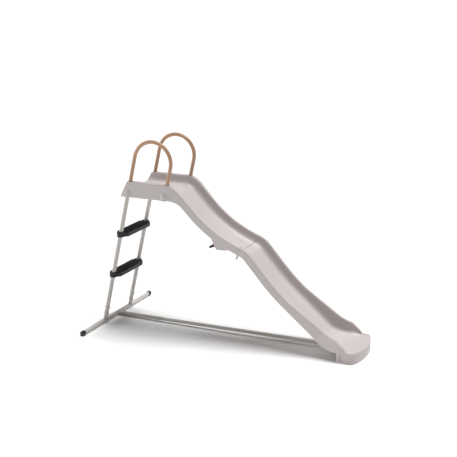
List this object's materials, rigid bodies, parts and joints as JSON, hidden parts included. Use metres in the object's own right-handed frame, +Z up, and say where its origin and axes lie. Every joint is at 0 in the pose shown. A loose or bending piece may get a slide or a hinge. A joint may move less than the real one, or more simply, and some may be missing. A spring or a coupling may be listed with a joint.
{
  "type": "toddler slide",
  "caption": "Free-standing toddler slide: wavy moulded chute in halves, leaning steel ladder with black treads, hoop handles and a steel ground frame.",
  "frame": {"origin": "on the ground, at the centre of the object's bounding box", "axes": "+X from the ladder towards the chute's exit, +Y across the chute, +Z up"},
  "size_m": [1.7814, 0.9, 1.259],
  "materials": {
    "chute_plastic": "matt blow-moulded polyethylene with a fine grain",
    "frame_paint": "satin powder coat",
    "handle_paint": "satin copper-coloured powder coat",
    "tread_plastic": "matt moulded plastic",
    "cap_plastic": "matt moulded plastic",
    "fitting_plastic": "semi-matt moulded plastic",
    "seal_rubber": "plain",
    "zinc_steel": "zinc plated"
  },
  "bodies": {
    "root": {"upper_chute": "chute_plastic", "lower_chute": "chute_plastic", "base_frame": "frame_paint", "tie_tube_rear": "frame_paint", "tie_tube_front": "frame_paint", "ladder_leg_near": "frame_paint", "ladder_leg_far": "frame_paint", "foot_bracket": "frame_paint", "handle_near": "handle_paint", "handle_far": "handle_paint", "lower_tread": "tread_plastic", "upper_tread": "tread_plastic", "cross_tube_cap_near": "cap_plastic", "cross_tube_cap_far": "cap_plastic", "hose_inlet": "fitting_plastic", "hose_inlet_nut": "fitting_plastic", "spray_nozzle": "fitting_plastic", "hose_inlet_washer": "seal_rubber", "water_tube": "seal_rubber", "tie_bolts": "zinc_steel", "tie_nuts": "zinc_steel", "leg_base_bolts": "zinc_steel", "leg_base_nuts": "zinc_steel", "tread_screws": "zinc_steel", "handle_screws": "zinc_steel", "leg_top_screws": "zinc_steel", "joint_bolts": "zinc_steel", "joint_screws": "zinc_steel", "joint_washers": "zinc_steel", "joint_nuts": "zinc_steel", "foot_screws": "zinc_steel", "foot_nuts": "zinc_steel"}
  },
  "joints": []
}
